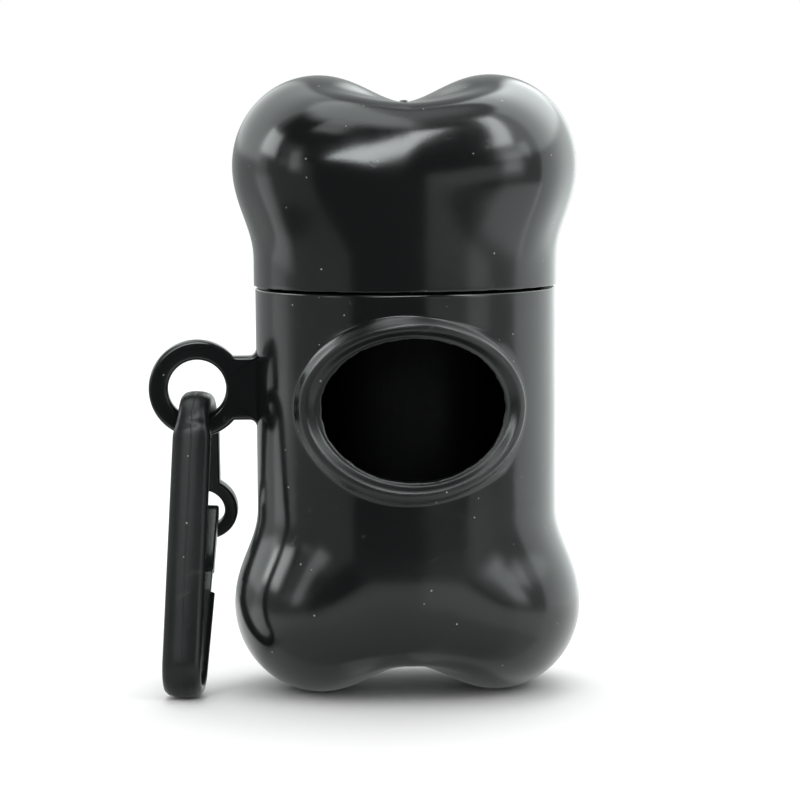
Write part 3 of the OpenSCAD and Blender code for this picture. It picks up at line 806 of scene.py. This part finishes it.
# --------------------------------------------------------------------- the roll
def wound_film():
    """Geometry Nodes: one long folded strip of bags, wound on the tube in a spiral."""
    tree = bpy.data.node_groups.new("wound_strip", "GeometryNodeTree")
    socket(tree, "Geometry", "NodeSocketGeometry", out=True)
    sizes = {"Inner radius": (CORE_R + 0.12) * MM, "Outer radius": (ROLL_R - 0.14) * MM,
             "Turns": 23.0, "Strip width": ROLL_L * MM, "Strip thickness": 0.2 * MM,
             "Foot height": ROLL_Z * MM}
    for label in sizes:
        socket(tree, label, "NodeSocketFloat")
    socket(tree, "Film", "NodeSocketMaterial")
    given = tree.nodes.new("NodeGroupInput").outputs
    spiral = node(tree, "GeometryNodeCurveSpiral", {
        "Resolution": 72, "Rotations": given["Turns"], "Start Radius": given["Inner radius"],
        "End Radius": given["Outer radius"], "Height": 0.0})
    upright = node(tree, "GeometryNodeSetCurveNormal", {"Curve": spiral.outputs[0]}, mode="Z_UP")
    strip = node(tree, "GeometryNodeCurvePrimitiveQuadrilateral", {
        "Width": given["Strip thickness"], "Height": given["Strip width"]})
    solid = node(tree, "GeometryNodeCurveToMesh", {
        "Curve": upright.outputs[0], "Profile Curve": strip.outputs[0], "Fill Caps": True})
    lift = node(tree, "ShaderNodeCombineXYZ", {
        "Z": maths(tree, "ADD", given["Foot height"],
                   maths(tree, "MULTIPLY", given["Strip width"], 0.5))})
    placed = node(tree, "GeometryNodeTransform", {
        "Geometry": solid.outputs[0], "Translation": lift.outputs[0]})
    real = node(tree, "GeometryNodeRealizeInstances", {"Geometry": placed.outputs[0]})
    painted = node(tree, "GeometryNodeSetMaterial", {
        "Geometry": real.outputs[0], "Material": given["Film"]})
    tree.links.new(painted.outputs[0], tree.nodes.new("NodeGroupOutput").inputs[0])

    holder = add_object("wound", bpy.data.meshes.new("wound"))
    nodes = holder.modifiers.new("wind", "NODES")
    nodes.node_group = tree
    for item in tree.interface.items_tree:
        if item.in_out == "INPUT":
            nodes[item.identifier] = BAG_FILM if item.name == "Film" else sizes[item.name]
    bpy.context.view_layer.update()
    mesh = bpy.data.meshes.new_from_object(
        holder.evaluated_get(bpy.context.evaluated_depsgraph_get()))
    bpy.data.objects.remove(holder)
    finish_mesh(mesh, 40, 1e-7)
    made = add_object("bag_strip", mesh)
    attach(made, "roll")
    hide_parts("bag_roll")


def paper_tube():
    """The tube of wound board, its ends a little frayed."""
    low, high = ROLL_Z - CORE_PROUD, ROLL_Z + ROLL_L + CORE_PROUD
    outer, inner, count = CORE_R, CORE_R - CORE_WALL, 96
    turns = np.radians(np.arange(count) * 360 / count)
    fray = 0.05 * np.sin(5 * turns + 1) + 0.04 * np.sin(13 * turns) - 0.09
    profile = [(outer, low, 0.3), (outer - 0.2, low, 1), (inner + 0.2, low, 1), (inner, low, 0.3)]
    profile += [(inner, z, 0) for z in np.linspace(low + 1, high - 1, 12)]
    profile += [(inner, high, 0.3), (inner + 0.2, high, 1),
                (outer - 0.2, high, 1), (outer, high, 0.3)]
    profile += [(outer, z, 0) for z in np.linspace(high - 1, low + 1, 12)]
    verts = []
    for r, z, amount in profile:
        inside = 1 if z < (low + high) / 2 else -1
        pull = 0.15 * (1 - amount) * (1 if amount else 0)
        for k in range(count):
            verts.append((r * math.cos(turns[k]), r * math.sin(turns[k]),
                          z + inside * (pull - fray[k] * amount)))
    faces = bands(len(profile), count, closed=True)
    made = piece("paper_tube", verts, faces, CORE_BOARD, smooth=40)
    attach(made, "roll")
    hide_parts("roll_core")


# ------------------------------------------------------------ floor, light, camera
def floor():
    """A disc of pale paper that fades out far away, and sooner in mirror images."""
    size, count = 1.4, 64
    turns = np.radians(np.arange(count) * 360 / count)
    verts = [(0, 0, 0)] + [(size * math.cos(a), size * math.sin(a), 0) for a in turns]
    mesh = bpy.data.meshes.new("studio_floor")
    mesh.from_pydata(verts, [], [(0, 1 + k, 1 + (k + 1) % count) for k in range(count)])
    made, tree, shader, place = new_material("floor_paper")
    shader.inputs["Base Color"].default_value = (0.92, 0.92, 0.92, 1)
    shader.inputs["Roughness"].default_value = 0.6
    shader.inputs["Specular IOR Level"].default_value = 0.15
    away = node(tree, "ShaderNodeVectorMath", {0: place}, operation="LENGTH").outputs["Value"]
    mirrored = tree.nodes.new("ShaderNodeLightPath").outputs["Is Glossy Ray"]
    fade = maths(tree, "MAXIMUM", ramp(tree, away, 0.5, 1.3),
                 maths(tree, "MULTIPLY", mirrored, ramp(tree, away, 0.05, 0.165, 0.25, 1.0)))
    clear = tree.nodes.new("ShaderNodeBsdfTransparent")
    mixed = node(tree, "ShaderNodeMixShader", {
        0: fade, 1: shader.outputs[0], 2: clear.outputs[0]})
    tree.links.new(mixed.outputs[0], tree.nodes["Material Output"].inputs[0])
    mesh.materials.append(made)
    plane = add_object("studio_floor", mesh)


# What the glossy plastic mirrors, a studio of soft panels: brightness, middle and half
# width in degrees round the bone (0 towards the front, + to the right), lowest and
# highest elevation, and how far the panel leans to the right per degree of height
PANELS = [
    (11.5, -24.5, 9.5, 17.5, 57, 1.0),  # front softbox
    (9.0, 47, 8.5, 27, 64, 0.25),       # right softbox
    (2.2, 56, 16, 13, 27, 0.0),         # under the right softbox
    (2.0, 52, 7, 1, 18, 0.0),
    (5.0, -106, 14, 12, 32, 0.0),       # small left softbox
    (0.55, 115, 70, -95, 66, 0.0),      # right wall
    (1.5, 115, 55, 16, 66, 0.0),
    (1.2, 128, 40, -95, 66, 0.0),
    (0.5, -145, 40, -95, 66, 0.0),      # wall behind and to the left
    (0.9, -146, 29, 5, 66, 0.0),
    (0.35, -85, 40, -22, 12, 0.0),      # left front
    (0.5, -68, 15, 6, 28, 0.0),
    (1.8, -61, 6, 2, 21, 0.0),          # lamp far off on the left
    (0.5, -112, 14, -24, -4, 0.0),
    (1.2, 50, 42, -34, -11, 0.0),       # table edge low on the right
    (0.8, 38, 25, -4, 9, 0.0),          # window low on the right
    (2.2, -42, 13, 46, 64, 0.35),       # ceiling's front edge
    (3.4, -95, 108, 63, 100, 0.0),      # ceiling to the left
    (0.6, 100, 90, 64, 80, 0.0),
    (1.4, 100, 92, 78, 100, 0.0),       # ceiling to the right
]
PANEL_EDGE, CEILING_EDGE = 2.5, 7.0     # half the width of the soft edges, in degrees
CEILING_FROM, DARK_FRONT = 60, 0.05     # where the ceiling starts; the room between panels
MIRROR_TINT = (0.94, 1.0, 0.99)
LOW_LIGHT, PLAIN_LIGHT = 0.2, 1.15      # the plain light, from below and from above


def world_light():
    """White where the camera looks; the panels in mirror images; plain soft light else."""
    world = bpy.data.worlds.new("studio")
    bpy.context.scene.world = world
    world.use_nodes = True
    tree = world.node_tree
    background = tree.nodes["Background"]
    towards = node(tree, "ShaderNodeSeparateXYZ",
                   {0: node(tree, "ShaderNodeTexCoord").outputs["Generated"]}).outputs
    front = maths(tree, "MULTIPLY", towards["Y"], -1.0)
    around = maths(tree, "ARCTAN2", towards["X"], front)
    around = maths(tree, "MULTIPLY", around, math.degrees(1))
    height = maths(tree, "MULTIPLY", maths(tree, "ARCSINE", towards["Z"]), math.degrees(1))
    room = None
    for bright, middle, half, low, high, lean in PANELS:
        soft = CEILING_EDGE if low > CEILING_FROM else PANEL_EDGE
        centre = maths(tree, "MULTIPLY_ADD", maths(tree, "SUBTRACT", height, low), lean, middle)
        off = maths(tree, "ABSOLUTE", maths(tree, "SUBTRACT", around, centre))
        across = ramp(tree, off, half - soft, half + soft, bright, 0.0)
        upward = maths(tree, "MULTIPLY", ramp(tree, height, low - soft, low + soft),
                       ramp(tree, height, high - soft, high + soft, 1.0, 0.0))
        panel = maths(tree, "MULTIPLY", across, upward)
        room = panel if room is None else maths(tree, "ADD", room, panel)
    room = maths(tree, "ADD", room, DARK_FRONT)
    ray = tree.nodes.new("ShaderNodeLightPath").outputs
    seen = maths(tree, "MAXIMUM", ray["Is Camera Ray"], ray["Is Transmission Ray"])
    mirror = ray["Is Glossy Ray"]
    mirrored = maths(tree, "MULTIPLY", mirror, room)
    plain = maths(tree, "MULTIPLY", maths(tree, "SUBTRACT", 1.0, mirror),
                  ramp(tree, height, -5.0, 40.0, LOW_LIGHT, PLAIN_LIGHT))
    light = maths(tree, "MAXIMUM", seen, maths(tree, "ADD", mirrored, plain))
    tree.links.new(light, background.inputs["Strength"])
    tint = mix_colour(tree, mirror, (1, 1, 1), MIRROR_TINT)
    tree.links.new(tint, background.inputs["Color"])


def softbox(name, azimuth, elevation, distance, width, height, strength):
    """A soft lamp, at an angle from the camera's side (+ to the right), aimed at the bone.
    Its mirror image is left to the panels above."""
    a, e = math.radians(azimuth), math.radians(elevation)
    towards = Vector((math.sin(a) * math.cos(e), -math.cos(a) * math.cos(e), math.sin(e)))
    lamp = bpy.data.lights.new(name, "AREA")
    lamp.shape, lamp.size, lamp.size_y = "RECTANGLE", width, height
    lamp.energy = strength * width * height * math.pi
    made = add_object(name, lamp)
    made.location = Vector((0, 0, 0.045)) + towards * distance
    made.rotation_euler = towards.to_track_quat("Z", "Y").to_euler()
    made.visible_glossy = False


def camera():
    """The camera at the photo's angle: a little to the left of the front, looking down."""
    azimuth, pitch, roll = 3.393, 5.07, -0.4035
    distance, height = 450, 79.915
    picture, focal, shift = 800, 3249, -5.95            # in pixels of the photo
    a, p, r = (math.radians(v) for v in (azimuth, pitch, roll))
    at = Vector((-distance * math.sin(a), -distance * math.cos(a), height)) * MM
    ahead = Vector((math.sin(a) * math.cos(p), math.cos(a) * math.cos(p), -math.sin(p)))
    right = ahead.cross(Vector((0, 0, 1))).normalized()
    up = right.cross(ahead)
    right, up = right * math.cos(r) + up * math.sin(r), up * math.cos(r) - right * math.sin(r)
    data = bpy.data.cameras.new("camera")
    data.sensor_width, data.lens = 36, focal / picture * 36
    data.shift_x = shift / picture
    data.clip_start, data.clip_end = 0.01, 20
    made = add_object("camera", data)
    made.matrix_world = Matrix((
        (right.x, up.x, -ahead.x, at.x), (right.y, up.y, -ahead.y, at.y),
        (right.z, up.z, -ahead.z, at.z), (0, 0, 0, 1)))
    bpy.context.scene.camera = made


lower_shell()
cap_shell()
pinch_tail()
ear()
bent_bar()
catch_plate()
gate()
wound_film()
paper_tube()
floor()
world_light()
softbox("overhead_box", 172, 68, 1.2, 0.9, 0.7, 3.0)
softbox("front_right_box", 46, 45, 1.2, 0.5, 0.6, 1.0)
softbox("left_box", -105, 26, 1.2, 0.45, 0.4, 0.8)
camera()
bpy.context.scene.view_settings.view_transform = "Standard"
